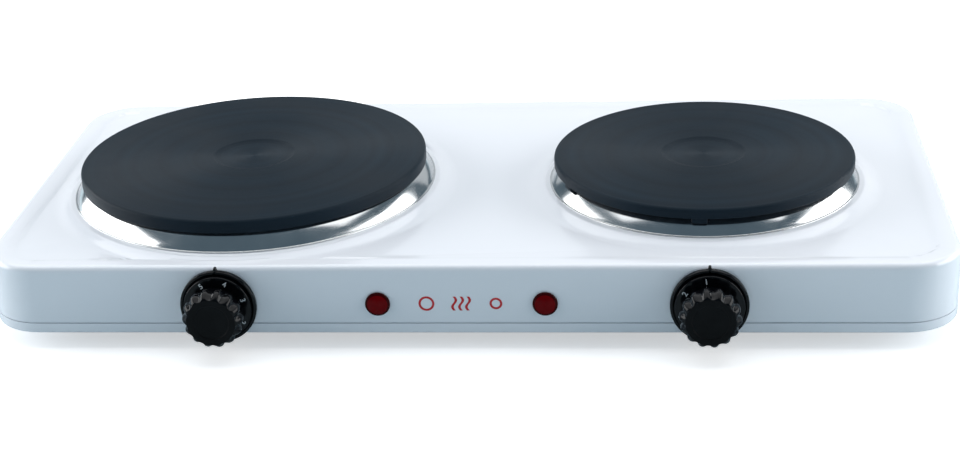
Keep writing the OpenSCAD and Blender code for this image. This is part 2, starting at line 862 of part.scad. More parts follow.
module terminal_screws() {
    low = high_wire_z + wire_hole_r;
    color("#c8a64b") placed() at_terminals() for (y = [-5, 5])
        translate([0, y, low]) cylinder(r = thread_r, h = floor_z + mains_block[2] - low - 0.5);
}

module at_earth() {
    translate([mid_x + 38, back_y - 30, 0]) children();
}

module earth_screw() {
    color("#c8a64b") placed() at_earth() {
        screw_up(pan_z, floor_z + 9);
        translate([0, 0, floor_z]) hex_nut(thread_r + fit, 4.2, 3);
    }
}

// One lead from the thermostat to the near pin, and one from the far pin back to the mains block.
module heater_leads(side) {
    toward = side == LEFT ? -1 : 1;
    pin_low = shield_z - heater_block[2] - pin_tail;
    tab_y = front_y + frame_depth + contact_tab;
    tab_x = plate_x[side] + contact_x + contact_t / 2;
    block_y = mains_y - mains_block[1] / 2 + 6;
    color("#c9412f") placed() {
        wire([[tab_x, tab_y, shaft_axis_z], [tab_x, pin_y(side), shaft_axis_z],
              [plate_x[side] + pin_x, pin_y(side), shaft_axis_z],
              [plate_x[side] + pin_x, pin_y(side), pin_low]]);
        wire([[plate_x[side] - pin_x, pin_y(side), pin_low],
              [plate_x[side] - pin_x, pin_y(side), low_wire_z],
              [mid_x + toward * wire_pitch, pin_y(side), low_wire_z],
              [mid_x + toward * wire_pitch, block_y, low_wire_z]]);
    }
}

// Leads from the mains block to the two thermostats, above the heater leads.
module supply_leads() {
    start_y = front_y + frame_depth - base_t / 2;
    turn_y = front_y + frame_depth + 10;
    block_y = mains_y - mains_block[1] / 2 + 6;
    color("#7a4a2a") placed() for (side = SIDES) {
        toward = side == LEFT ? -1 : 1;
        wire([[plate_x[side] - contact_x, start_y, shaft_axis_z],
              [plate_x[side] - contact_x, turn_y, shaft_axis_z],
              [plate_x[side] - contact_x, turn_y, high_wire_z],
              [mid_x + toward * wire_pitch, turn_y, high_wire_z],
              [mid_x + toward * wire_pitch, block_y, high_wire_z]]);
    }
}

top_housing();
base_pan();
fixing_brackets();
pan_screws();
foot(-1, -1);  // foot_front_left
foot(1, -1);  // foot_front_right
foot(-1, 1);  // foot_rear_left
foot(1, 1);  // foot_rear_right
foot_screws();
hotplate(LEFT);  // left_hotplate
hotplate(RIGHT);  // right_hotplate
trim_ring(LEFT);  // left_trim_ring
trim_ring(RIGHT);  // right_trim_ring
heating_coils(LEFT);  // left_heating_coils
heating_coils(RIGHT);  // right_heating_coils
coil_cement(LEFT);  // left_coil_cement
coil_cement(RIGHT);  // right_coil_cement
heat_shield(LEFT);  // left_heat_shield
heat_shield(RIGHT);  // right_heat_shield
plate_stud(LEFT);  // left_plate_stud
plate_stud(RIGHT);  // right_plate_stud
clamp_bar(LEFT);  // left_clamp_bar
clamp_bar(RIGHT);  // right_clamp_bar
stud_nuts(LEFT);  // left_stud_nuts
stud_nuts(RIGHT);  // right_stud_nuts
heater_terminal_block(LEFT);  // left_heater_block
heater_terminal_block(RIGHT);  // right_heater_block
heater_pins(LEFT);  // left_heater_pins
heater_pins(RIGHT);  // right_heater_pins
dial_plate(LEFT);  // left_dial_plate
dial_plate(RIGHT);  // right_dial_plate
knob(LEFT);  // left_knob
knob(RIGHT);  // right_knob
thermostat_frame(LEFT);  // left_thermostat_frame
thermostat_frame(RIGHT);  // right_thermostat_frame
thermostat_base(LEFT);  // left_thermostat_base
thermostat_base(RIGHT);  // right_thermostat_base
thermostat_shaft(LEFT);  // left_thermostat_shaft
thermostat_shaft(RIGHT);  // right_thermostat_shaft
cam(LEFT);  // left_cam
cam(RIGHT);  // right_cam
contact_lever(LEFT);  // left_contact_lever
contact_lever(RIGHT);  // right_contact_lever
fixed_contact(LEFT);  // left_fixed_contact
fixed_contact(RIGHT);  // right_fixed_contact
thermostat_screws();
lamp_lens(LEFT);  // left_lamp_lens
lamp_lens(RIGHT);  // right_lamp_lens
neon_bulb(LEFT);  // left_neon_bulb
neon_bulb(RIGHT);  // right_neon_bulb
lamp_clips();
cable_gland();
gland_nut();
mains_terminal_block();
terminal_screws();
earth_screw();
heater_leads(LEFT);  // left_heater_leads
heater_leads(RIGHT);  // right_heater_leads
supply_leads();
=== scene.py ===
import json
import math

import bmesh
import bpy
from mathutils import Matrix, Vector


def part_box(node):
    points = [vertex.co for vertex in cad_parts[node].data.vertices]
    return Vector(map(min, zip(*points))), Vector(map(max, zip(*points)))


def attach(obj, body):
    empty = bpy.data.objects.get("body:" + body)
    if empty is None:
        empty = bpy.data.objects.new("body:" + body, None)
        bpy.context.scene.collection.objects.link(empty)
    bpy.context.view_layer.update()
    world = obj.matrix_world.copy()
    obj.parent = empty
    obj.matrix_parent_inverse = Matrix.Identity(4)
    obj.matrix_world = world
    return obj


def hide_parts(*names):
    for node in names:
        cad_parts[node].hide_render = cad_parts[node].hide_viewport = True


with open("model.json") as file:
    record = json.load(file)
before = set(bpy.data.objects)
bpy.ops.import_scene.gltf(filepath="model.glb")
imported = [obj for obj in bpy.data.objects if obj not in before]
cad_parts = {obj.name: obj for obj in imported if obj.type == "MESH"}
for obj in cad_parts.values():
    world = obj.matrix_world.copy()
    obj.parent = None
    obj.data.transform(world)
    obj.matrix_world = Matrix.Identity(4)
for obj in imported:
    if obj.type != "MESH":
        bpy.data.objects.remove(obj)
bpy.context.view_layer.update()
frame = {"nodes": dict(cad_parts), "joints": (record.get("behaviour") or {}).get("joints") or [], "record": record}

# ---- places that the frame gives, in metres ----

MM = 0.001
SIDES = ("left", "right")
HOUSING_LOW, HOUSING_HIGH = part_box("top_housing")
WALL_Y = HOUSING_LOW.y
BACK_Y = HOUSING_HIGH.y
TURNS = {joint["name"]: joint for joint in frame["joints"]}
KNOB_AXIS = {side: TURNS[side + "_knob_turn"]["pos_m"] for side in SIDES}
KNOB_RANGE = {side: TURNS[side + "_knob_turn"]["range_deg"] for side in SIDES}
LAST_NUMBER = 5
FACING_FRONT = Matrix.Rotation(math.pi / 2, 4, "X")
FACING_BACK = Matrix.Rotation(-math.pi / 2, 4, "X")
SHARP = math.radians(32)


def middle(node):
    """Centre of a CAD node's box."""
    low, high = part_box(node)
    return (low + high) / 2


# ---- how materials are made ----


def linear(code):
    """An sRGB hex colour as linear red, green, blue and alpha."""
    parts = [int(code[i:i + 2], 16) / 255 for i in (1, 3, 5)]
    return [p / 12.92 if p <= 0.04045 else ((p + 0.055) / 1.055) ** 2.4 for p in parts] + [1.0]


def per_mm(size):
    """Texture scale whose pattern repeats about every size millimetres."""
    return 1 / (size * MM)


def add(tree, kind, inputs, **settings):
    """Adds a shader node. Inputs maps its sockets to values or to other nodes' outputs."""
    node = tree.nodes.new("ShaderNode" + kind)
    for name, value in settings.items():
        setattr(node, name, value)
    for name, value in inputs.items():
        if isinstance(value, bpy.types.NodeSocket):
            tree.links.new(value, node.inputs[name])
        else:
            node.inputs[name].default_value = value
    return node


def start_material(name, constants):
    """A material with one shader, whose sockets in constants are set, and its Object coordinates."""
    material = bpy.data.materials.new(name)
    material.use_nodes = True
    tree = material.node_tree
    shader = tree.nodes["Principled BSDF"]
    for socket, value in constants.items():
        shader.inputs[socket].default_value = value
    return material, tree, shader, add(tree, "TexCoord", {}).outputs["Object"]


def paint(tree, shader, mask, low, high, worn=None, wear_mask=None):
    """Colours the shader from low to high by mask, and with worn where wear_mask is high."""
    colour = add(tree, "MixRGB", {"Fac": mask, "Color1": linear(low), "Color2": linear(high)})
    if worn:
        colour = add(tree, "MixRGB", {"Fac": wear_mask, "Color1": colour.outputs["Color"],
                                      "Color2": linear(worn)})
    tree.links.new(colour.outputs["Color"], shader.inputs["Base Color"])


def roughen(tree, shader, mask, low, high):
    """Roughness from low to high by mask."""
    rough = add(tree, "MapRange", {"Value": mask, "From Min": 0.3, "From Max": 0.7,
                                   "To Min": low, "To Max": high})
    tree.links.new(rough.outputs["Result"], shader.inputs["Roughness"])


def emboss(tree, shader, height, depth_mm, strength=1.0):
    """Bump whose full height is depth_mm."""
    bump = add(tree, "Bump", {"Height": height, "Distance": depth_mm * MM, "Strength": strength})
    tree.links.new(bump.outputs["Normal"], shader.inputs["Normal"])


def spots(tree, place, share):
    """Mask of small worn spots, about 3 mm apart, over roughly that share of the surface."""
    fine = add(tree, "TexNoise", {"Vector": place, "Scale": per_mm(3), "Detail": 6.0,
                                  "Roughness": 0.7})
    edge = 0.72 - share
    cut = add(tree, "MapRange", {"Value": fine.outputs["Fac"], "From Min": edge,
                                 "From Max": edge + 0.08})
    return cut.outputs["Result"]


def surface(name, colours, patch_mm, roughness, smudge_mm, grain_mm, grain_depth_mm,
            constants=None, worn="#808080", share=0.06, stretch=(1, 1, 1)):
    """Common build of a plain finish: patches of colour, worn spots, smudges and a fine grain."""
    material, tree, shader, place = start_material(name, constants or {})
    place = add(tree, "Mapping", {"Vector": place, "Scale": stretch}).outputs["Vector"]
    patches = add(tree, "TexNoise", {"Vector": place, "Scale": per_mm(patch_mm), "Detail": 4.0})
    smudges = add(tree, "TexNoise", {"Vector": place, "Scale": per_mm(smudge_mm), "Detail": 3.0})
    grain = add(tree, "TexNoise", {"Vector": place, "Scale": per_mm(grain_mm), "Detail": 2.0})
    paint(tree, shader, patches.outputs["Fac"], *colours, worn, spots(tree, place, share))
    roughen(tree, shader, smudges.outputs["Fac"], *roughness)
    emboss(tree, shader, grain.outputs["Fac"], grain_depth_mm)
    return material


def distance_from(tree, place, centre):
    """Distance of the shaded point from a vertical axis through centre, in metres."""
    moved = add(tree, "Mapping", {"Vector": place, "Location": (-centre.x, -centre.y, 0),
                                  "Scale": (1, 1, 0)})
    return add(tree, "VectorMath", {0: moved.outputs["Vector"]}, operation="LENGTH").outputs["Value"]


# ---- materials ----


def fired_white_enamel():
    """White vitreous enamel fired on pressed steel: glassy, with a faint orange peel."""
    return surface("fired_white_enamel", ("#EDF1F8", "#F4F6FB"), 130, (0.14, 0.24), 60, 5, 0.006,
                   {"IOR": 1.5, "Coat Weight": 0.6, "Coat Roughness": 0.05},
                   worn="#E2E7EF", share=0.02)


def coated_turned_iron(side):
    """Cast iron, face-turned and coated: slate black, whose fine turning marks spread the light."""
    material, tree, shader, place = start_material(
        side + "_coated_turned_iron",
        {"Specular IOR Level": 0.1, "Anisotropic": 0.8, "Anisotropic Rotation": 0.25})
    radius = distance_from(tree, place, middle(side + "_hotplate"))
    marks = add(tree, "TexNoise", {"W": radius, "Scale": per_mm(1.1), "Detail": 5.0,
                                   "Roughness": 0.65}, noise_dimensions="1D")
    bands = add(tree, "TexNoise", {"W": radius, "Scale": per_mm(9), "Detail": 2.0},
                noise_dimensions="1D")
    patches = add(tree, "TexNoise", {"Vector": place, "Scale": per_mm(45), "Detail": 5.0})
    mixed = add(tree, "Math", {0: bands.outputs["Fac"], 1: patches.outputs["Fac"]},
                operation="MULTIPLY")
    tone = add(tree, "Math", {0: mixed.outputs["Value"], 1: 1.7}, operation="MULTIPLY")
    paint(tree, shader, tone.outputs["Value"], "#111A22", "#1D2C37", "#2E3E4A",
          spots(tree, place, 0.04))
    roughen(tree, shader, patches.outputs["Fac"], 0.42, 0.55)
    emboss(tree, shader, marks.outputs["Fac"], 0.02)
    tangent = add(tree, "Tangent", {}, direction_type="RADIAL", axis="Z")
    tree.links.new(tangent.outputs["Tangent"], shader.inputs["Tangent"])
    return material


def spun_stainless(side):
    """Stainless steel, spun and polished: a mirror with faint rings from the spinning tool."""
    material, tree, shader, place = start_material(
        side + "_spun_stainless", {"Metallic": 1.0, "Anisotropic": 0.3})
    radius = distance_from(tree, place, middle(side + "_hotplate"))
    rings = add(tree, "TexNoise", {"W": radius, "Scale": per_mm(1.3), "Detail": 4.0},
                noise_dimensions="1D")
    smudges = add(tree, "TexNoise", {"Vector": place, "Scale": per_mm(22), "Detail": 4.0})
    paint(tree, shader, smudges.outputs["Fac"], "#C9CBCC", "#DFE0E0", "#B3B2AE",
          spots(tree, place, 0.03))
    roughen(tree, shader, smudges.outputs["Fac"], 0.10, 0.20)
    emboss(tree, shader, rings.outputs["Fac"], 0.012)
    tangent = add(tree, "Tangent", {}, direction_type="RADIAL", axis="Z")
    tree.links.new(tangent.outputs["Tangent"], shader.inputs["Tangent"])
    return material


def moulded_phenolic():
    """Black phenolic, compression moulded: deep gloss with soft flow marks."""
    return surface("moulded_phenolic", ("#040507", "#090A0E"), 14, (0.1, 0.2), 9, 2.5, 0.008,
                   {"IOR": 1.5, "Specular IOR Level": 0.2}, worn="#14171B", share=0.05)


def matt_phenolic():
    """Black phenolic from a blasted part of the mould: dull, so that the face stays dark."""
    return surface("matt_phenolic", ("#050607", "#0B0C0E"), 9, (0.5, 0.65), 6, 0.6, 0.02,
                   {"Specular IOR Level": 0.12}, worn="#121416", share=0.06)


def zinc_plated_steel():
    """Steel, zinc plated: cool grey with the cloudy patches of the plating."""
    return surface("zinc_plated_steel", ("#8F959A", "#B4B9BD"), 8, (0.28, 0.46), 5, 0.6, 0.01,
                   {"Metallic": 1.0}, worn="#6E6A62", share=0.05)


def moulded_rubber():
    """Black rubber, moulded: dull, dusty and finely pebbled."""
    return surface("moulded_rubber", ("#131313", "#1F1F20"), 6, (0.7, 0.9), 4, 0.9, 0.05,
                   {"IOR": 1.52, "Specular IOR Level": 0.3}, worn="#3A3937", share=0.1)


def oxidised_heating_wire():
    """Nickel-chrome wire, wound and oxidised: brown grey with the pitch of its turns."""
    return surface("oxidised_heating_wire", ("#5A4A3E", "#77695C"), 4, (0.5, 0.7), 3, 1.2, 0.2,
                   {"Metallic": 0.8}, worn="#3A302A", share=0.1)


def dried_cement():
    """Insulating cement, packed and dried: chalky and pitted."""
    return surface("dried_cement", ("#B9B2A2", "#D3CDBE"), 7, (0.85, 0.98), 5, 1.0, 0.15,
                   worn="#9B9282", share=0.12)


def pressed_steatite():
    """Steatite, dry pressed and fired unglazed: cream, with a biscuit's fine grain."""
    return surface("pressed_steatite", ("#DDD5C0", "#EAE3D0"), 9, (0.5, 0.65), 6, 0.8, 0.03,
                   {"IOR": 1.55}, worn="#C3B79B", share=0.06)


def moulded_cam_resin():
    """Glass-filled resin, moulded: tan, with short streaks of fibre."""
    return surface("moulded_cam_resin", ("#A68C55", "#C2A872"), 3, (0.4, 0.55), 3, 0.7, 0.03,
                   worn="#8A7444", share=0.1, stretch=(1, 3, 1))


def rolled_brass():
    """Brass, rolled: warm yellow with fine rolling lines and darker tarnish."""
    return surface("rolled_brass", ("#A67E39", "#C9A456"), 5, (0.25, 0.42), 4, 0.5, 0.01,
                   {"Metallic": 1.0}, worn="#7A5A2A", share=0.08, stretch=(1, 1, 4))


def moulded_nylon():
    """Black nylon, moulded against a spark-eroded tool: satin and finely textured."""
    return surface("moulded_nylon", ("#141517", "#1D1F22"), 7, (0.42, 0.58), 5, 0.7, 0.03,
                   {"IOR": 1.53}, worn="#2C2E31", share=0.06)


def red_polycarbonate(name, colours):
    """Red polycarbonate, moulded: a smooth skin over a colour that drifts with the flow."""
    return surface(name, colours, 5, (0.12, 0.22), 4, 2, 0.01,
                   {"Specular IOR Level": 0.07}, worn=colours[0], share=0.04)


def blown_glass():
    """Clear glass, blown: thin and smooth with a warm cast from the neon's electrodes."""
    return surface("blown_glass", ("#F2D9CC", "#FBEDE6"), 4, (0.03, 0.08), 4, 3, 0.01,
                   {"IOR": 1.5, "Transmission Weight": 0.9}, worn="#E8C8B8", share=0.03)


def silicone_lead(name, colours):
    """Stranded lead with extruded silicone insulation: soft satin, faintly ribbed along."""
    return surface(name, colours, 12, (0.5, 0.66), 6, 0.9, 0.03, {"IOR": 1.42},
                   worn="#4A2018", share=0.05)


def screen_ink(name, colours):
    """Screen-printed ink: opaque, with the slight unevenness of a pulled coat."""
    return surface(name, colours, 3, (0.4, 0.55), 2, 0.6, 0.01, worn=colours[0], share=0.05)


def matt_floor():
    """Pale studio floor, matt painted: nearly white with slow drifts, and a cool dim bounce."""
    material = surface("matt_floor", ("#F7F8F9", "#FDFDFD"), 400, (0.85, 0.95), 300, 40, 0.02,
                       {"Specular IOR Level": 0.1}, worn="#F1F2F3", share=0.02)
    tree = material.node_tree
    shader = tree.nodes["Principled BSDF"]
    seen = add(tree, "LightPath", {}).outputs["Is Camera Ray"]
    painted = shader.inputs["Base Color"].links[0].from_socket
    bounce = add(tree, "MixRGB", {"Fac": seen, "Color1": linear("#C2D3DA"), "Color2": painted})
    glow = add(tree, "Math", {0: seen, 1: FLOOR_GLOW}, operation="MULTIPLY")
    tree.links.new(bounce.outputs["Color"], shader.inputs["Base Color"])
    tree.links.new(glow.outputs["Value"], shader.inputs["Emission Strength"])
    return material


ENAMEL = fired_white_enamel()
IRON = {side: coated_turned_iron(side) for side in SIDES}
STAINLESS = {side: spun_stainless(side) for side in SIDES}
PHENOLIC = moulded_phenolic()
MATT_PHENOLIC = matt_phenolic()
ZINC = zinc_plated_steel()
RUBBER = moulded_rubber()
BRASS = rolled_brass()
NYLON = moulded_nylon()
STEATITE = pressed_steatite()
RED_LENS = red_polycarbonate("red_lens_polycarbonate", ("#5E0106", "#780308"))
# The rim takes a darker copy of the same lens plastic: painted shade on the rim.
LENS_RIM_SHADE = red_polycarbonate("shaded_rim_red_polycarbonate", ("#2E0103", "#450205"))
RED_LEAD = silicone_lead("red_silicone_lead", ("#8E2417", "#A93626"))
BROWN_LEAD = silicone_lead("brown_silicone_lead", ("#4B2B19", "#613B25"))
WHITE_INK = screen_ink("white_dial_ink", ("#D9DEE2", "#F0F2F3"))
RED_INK = screen_ink("red_front_ink", ("#C3131B", "#D9202A"))
FINISH = {"white_enamel": ENAMEL, "zinc_steel": ZINC, "foot_rubber": RUBBER,
          "heating_wire": oxidised_heating_wire(), "cement": dried_cement(), "steatite": STEATITE,
          "bakelite": PHENOLIC, "cam_resin": moulded_cam_resin(), "brass": BRASS,
          "red_lens": RED_LENS, "bulb_glass": blown_glass(), "black_nylon": NYLON,
          "red_lead": RED_LEAD, "brown_lead": BROWN_LEAD, "cast_iron": IRON["left"],
          "polished_steel": STAINLESS["left"]}

for part in frame["record"]["subparts"]:
    node = frame["nodes"][part["node"]]
    node.data.materials.clear()
    node.data.materials.append(FINISH[part["material_slot"]])

# ---- how pieces are made ----


def lathe(outline, steps=128, whole=True):
    """Spins corners (radius, height, rounding) in millimetres about Z. Whole closes the outline."""
    bm = bmesh.new()
    corners = [bm.verts.new((point[0] * MM, 0, point[1] * MM)) for point in outline]
    for a, b in zip(corners, corners[1:] + corners[:1] if whole else corners[1:]):
        bm.edges.new((a, b))
    rounds = [point[2] if len(point) > 2 else 0 for point in outline]
    for size in sorted({r for r in rounds if r}):
        chosen = [corner for corner, r in zip(corners, rounds) if r == size]
        bmesh.ops.bevel(bm, geom=chosen, offset=size * MM, offset_type="OFFSET", affect="VERTICES",
                        segments=5, profile=0.5, material=-1)
    bmesh.ops.spin(bm, geom=bm.verts[:] + bm.edges[:], cent=(0, 0, 0), axis=(0, 0, 1),
                   dvec=(0, 0, 0), angle=2 * math.pi, steps=steps, use_merge=True,
                   use_duplicate=False)
    close(bm)
    return bm


def close(bm):
    """Merges doubles, drops flat faces and turns the rest outward."""
    bmesh.ops.remove_doubles(bm, verts=bm.verts, dist=0.002 * MM)
    bmesh.ops.dissolve_degenerate(bm, edges=bm.edges, dist=0.001 * MM)
    bmesh.ops.recalc_face_normals(bm, faces=bm.faces)


def block(low, high, rounding):
    """Box between two corners in millimetres, with rounded edges."""
    bm = bmesh.new()
    size = Vector(high) - Vector(low)
    bmesh.ops.create_cube(bm, size=1)
    bmesh.ops.scale(bm, vec=size * MM, verts=bm.verts)
    bmesh.ops.translate(bm, vec=(Vector(low) + Vector(high)) / 2 * MM, verts=bm.verts)
    bmesh.ops.bevel(bm, geom=bm.edges[:], offset=rounding * MM, offset_type="OFFSET",
                    affect="EDGES", segments=3, profile=0.5, material=-1)
    return bm


def move(bm, matrix):
    """Moves the bmesh by a matrix."""
    bmesh.ops.transform(bm, matrix=matrix, verts=bm.verts)
    return bm


def join(bm, other):
    """Adds another bmesh to bm."""
    mesh = bpy.data.meshes.new("joined")
    other.to_mesh(mesh)
    other.free()
    bm.from_mesh(mesh)
    bpy.data.meshes.remove(mesh)
    return bm


def piece(name, bm, material, body, slot, *nodes):
    """Makes the bmesh a smooth-shaded object that rides on a body and stands for CAD nodes."""
    for face in bm.faces:
        face.smooth = True
    for edge in bm.edges:
        edge.smooth = edge.calc_face_angle(0) < SHARP
    mesh = bpy.data.meshes.new(name)
    bm.to_mesh(mesh)
    bm.free()
    mesh.materials.append(material)
    made = bpy.data.objects.new(name, mesh)
    bpy.context.scene.collection.objects.link(made)
    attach(made, body)
    if nodes:
        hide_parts(*nodes)
    return made


def cut(bm, cutter):
    """Takes the cutter's volume away from bm."""
    objects = []
    for name, shape in (("blank", bm), ("cutter", cutter)):
        mesh = bpy.data.meshes.new(name)
        shape.to_mesh(mesh)
        shape.free()
        objects.append(bpy.data.objects.new(name, mesh))
        bpy.context.scene.collection.objects.link(objects[-1])
    blank, tool = objects
    boolean = blank.modifiers.new("cut", "BOOLEAN")
    boolean.operation = "DIFFERENCE"
    boolean.object = tool
    boolean.solver = "EXACT"
    bpy.context.view_layer.update()
    result = blank.evaluated_get(bpy.context.evaluated_depsgraph_get()).to_mesh()
    made = bmesh.new()
    made.from_mesh(result)
    for thing in objects:
        mesh = thing.data
        bpy.data.objects.remove(thing)
        bpy.data.meshes.remove(mesh)
    close(made)
    return made


# ---- sheet metal ----

SLIVER = 0.05 * MM


def refined(node, name, material, slot):
    """Welded copy of a CAD node, shaded by its large faces and without slivers."""
    source = frame["nodes"][node]
    bm = bmesh.new()
    bm.from_mesh(source.data)
    move(bm, source.matrix_world)
    bmesh.ops.remove_doubles(bm, verts=bm.verts, dist=SLIVER)
    close(bm)
    made = piece(name, bm, material, "housing", slot, node)
    weighted = made.modifiers.new("weighted", "WEIGHTED_NORMAL")
    weighted.keep_sharp = True


refined("top_housing", "enamelled_top", ENAMEL, "white_enamel")
refined("base_pan", "enamelled_pan", ENAMEL, "white_enamel")

# ---- hotplates and trim rings ----


def hotplate(side):
    """Casting with a turned face, a shallow centre recess, an overhanging rim and ribs below."""
    low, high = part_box(side + "_hotplate")
    centre = (low + high) / 2
    radius = (high.x - low.x) / 2 / MM
    face = high.z / MM
    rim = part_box(side + "_trim_ring")[1].z / MM
    foot = low.z / MM
    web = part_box(side + "_plate_stud")[1].z / MM - 0.8
    wall = radius - 8.5
    under = []
    rib_out = wall - 4
    for _ in range(3):
        under += [(rib_out, web, 0.8), (rib_out - 8, web, 0.8), (rib_out - 8, web - 9, 0.6),
                  (rib_out - 11.5, web - 9, 0.6)]
        rib_out -= 11.5
    outline = [(0, face - 1), (PLATE_RECESS - 2.4, face - 1, 1.5), (PLATE_RECESS, face, 0.5),
               (radius, face, 1.6), (radius, rim, 0.5), (wall, rim, 0.5), (wall, foot, 0.4),
               (wall - 4, foot, 0.4), *under, (rib_out, web), (11, web), (11, foot, 0.5),
               (4.1, foot, 0.3), (4.1, web + 1), (0, web + 1)]
    bm = lathe(outline, steps=192, whole=False)
    for angle in LUG_ANGLES[side]:
        lug = block((radius - 3.2, -4, rim - 3), (radius - 0.8, 4, rim + 1), 1.1)
        join(bm, move(lug, Matrix.Rotation(math.radians(angle), 4, "Z")))
    move(bm, Matrix.Translation((centre.x, centre.y, 0)))
    piece(side + "_cooking_plate", bm, IRON[side], "housing", "cast_iron", side + "_hotplate")


def trim_ring(side):
    """Spun ring: a rolled bead on the seat, a swelling band and a lip under the plate's rim."""
    low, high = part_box(side + "_trim_ring")
    centre = (low + high) / 2
    outer = (high.x - low.x) / 2 / MM
    base, top = low.z / MM, high.z / MM
    lip = outer - RING_LEAN[side]
    sheet = 0.6
    bulge = 0.5
    half = ((outer + lip) / 2, (base + top) / 2)
    outline = [(outer - 3, base), (outer, base, 0.28), (outer, base + sheet, 0.28),
               (outer - 0.7, base + sheet, 0.3), (half[0] + bulge, half[1] + bulge, 4),
               (lip, top, 0.3), (lip - 1.5, top), (lip - 1.5, top - sheet), (lip - 0.4, top - sheet),
               (half[0] - 0.5 + bulge, half[1] - 0.5 + bulge, 4), (outer - 1.5, base + sheet),
               (outer - 3, base + sheet)]
    bm = lathe(outline, steps=192)
    move(bm, Matrix.Translation((centre.x, centre.y, 0)))
    piece(side + "_polished_ring", bm, STAINLESS[side], "housing", "polished_steel",
          side + "_trim_ring")


PLATE_RECESS = 22
LUG_ANGLES = {"left": [], "right": [-155, -93, 27, 89, 145]}
RING_LEAN = {"left": 7.5, "right": 9}
for side in SIDES:
    hotplate(side)
    trim_ring(side)

# ---- knobs and dial plates ----


def at_knob(side):
    """From a shape turned about Z, with its height as distance from the wall, to its place."""
    x, _, z = KNOB_AXIS[side]
    return Matrix.Translation((x, WALL_Y, z)) @ FACING_FRONT


def scallop(bm, lobes, depth, inner, outer, floor, phase):
    """Presses rounded valleys between lobes into everything beyond inner and above floor."""
    for vert in bm.verts:
        radius = vert.co.xy.length / MM
        if radius <= inner or vert.co.z / MM < floor:
            continue
        weight = min(1, (radius - inner) / (outer - inner))
        angle = math.atan2(vert.co.y, vert.co.x) - phase
        drop = depth * weight * (0.5 - 0.5 * math.cos(lobes * angle)) ** 1.4
        vert.co.xy *= (radius - drop) / radius


def knob(side):
    """Lobed grip that rounds in to a flat matt face, on a numbered skirt, hollow round a boss."""
    face = (WALL_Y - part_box(side + "_knob")[0].y) / MM
    skirt, grip, root = 17, 15, 11.5
    back, skirt_top = 3, 5
    outline = [(0, face - 0.5), (8.6, face - 0.5, 0.3), (9.1, face, 0.3), (12.5, face, 0.8),
               (grip, 17.2, 1.5), (grip, 12.4, 1.5), (root, skirt_top + 0.06), (root - 0.1, skirt_top),
               (skirt - 0.2, skirt_top - 0.1, 0.5), (skirt, back, 0.3), (9.6, back, 0.3),
               (9.3, face - 2.8, 1), (6, face - 2.8, 1), (6, back + 1.1, 0.3), (3.05, back + 1),
               (3.05, 13.3), (0, 13.3)]
    bm = lathe(outline, steps=GRIP_LOBES * 14, whole=False)
    first, last = KNOB_RANGE[side]
    scallop(bm, GRIP_LOBES, 1.5, 12.0, 13.6, skirt_top + 0.03, math.radians(90 + first))
    for part in bm.faces:
        part.material_index = int(part.calc_center_median().xy.length < 12 * MM
                                  and part.calc_center_median().z > (face - 0.7) * MM)
    move(bm, at_knob(side))
    made = piece(side + "_lobed_knob", bm, PHENOLIC, side + "_knob", "bakelite", side + "_knob")
    made.data.materials.append(MATT_PHENOLIC)
    for number in range(1, LAST_NUMBER + 1):
        turn = math.radians(-first - number * (last - first) / LAST_NUMBER)
        dial_number(side, number, turn)


def dial_number(side, number, turn):
    """One printed number on the skirt, its top outward, at a clockwise angle from the top."""
    text = bpy.data.curves.new("number", "FONT")
    text.body = str(number)
    text.size = 3.9 * MM
    text.align_x = "CENTER"
    text.align_y = "CENTER"
    text.extrude = 0.03 * MM
    text.offset = 0.05 * MM
    text.resolution_u = 4
    source = bpy.data.objects.new("number", text)
    mesh = bpy.data.meshes.new_from_object(source)
    bm = bmesh.new()
    bm.from_mesh(mesh)
    bpy.data.meshes.remove(mesh)
    bpy.data.objects.remove(source)
    close(bm)
    on_skirt = Matrix.Translation((0, 14 * MM, 4.98 * MM))
    move(bm, at_knob(side) @ Matrix.Rotation(-turn, 4, "Z") @ on_skirt)
    piece(f"{side}_number_{number}", bm, WHITE_INK, side + "_knob", None)


def dial_plate(side):
    """Thin plate behind the knob with a raised lip and a rounded pointer nub at its top."""
    plate, lip, inner, thick = 19, 3, 17.4, 2.4
    outline = [(5.1, 0), (plate, 0, 0.4), (plate, lip, 0.7), (inner, lip, 0.4), (inner, thick, 0.2),
               (5.1, thick, 0.2)]
    bm = lathe(outline, steps=128)
    nub = block((-1.5, plate - 2.2, 0), (1.5, plate + 2, lip), 1.0)
    for vert in nub.verts:
        if vert.co.y > plate * MM:
            vert.co.x *= 0.55
    join(bm, nub)
    move(bm, at_knob(side))
    piece(side + "_dial", bm, PHENOLIC, "housing", "bakelite", side + "_dial_plate")


GRIP_LOBES = 14
for side in SIDES:
    dial_plate(side)
    knob(side)

# ---- pilot lamps and front print ----


def lens(side):
    """Domed lens on a thin rim, with a hollow stem that holds the bulb."""
    low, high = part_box(side + "_lamp_lens")
    centre = (low + high) / 2
    radius = (high.x - low.x) / 2 / MM
    proud = (WALL_Y - low.y) / MM
    stem = (high.y - WALL_Y) / MM
    outline = [(0, proud), (radius * 0.5, proud - 0.35, 3), (radius - 1.0, 1.5, 0.5),
               (radius - 0.6, 1.2, 0.2), (radius, 1.2, 0.35), (radius, 0, 0.2), (radius - 1.15, 0),
               (radius - 1.15, -stem), (radius - 2.85, -stem), (radius - 2.85, 0.5, 0.4), (0, 0.5)]
    bm = lathe(outline, steps=96, whole=False)
    # Rim and stem faces take the darker copy of the lens plastic, painted shade on the rim.
    for part in bm.faces:
        part.material_index = int(part.calc_center_median().xy.length > (radius - 1.2) * MM)
    move(bm, Matrix.Translation((centre.x, WALL_Y, centre.z)) @ FACING_FRONT)
    made = piece(side + "_lens", bm, RED_LENS, "housing", "red_lens", side + "_lamp_lens")
    made.data.materials.append(LENS_RIM_SHADE)


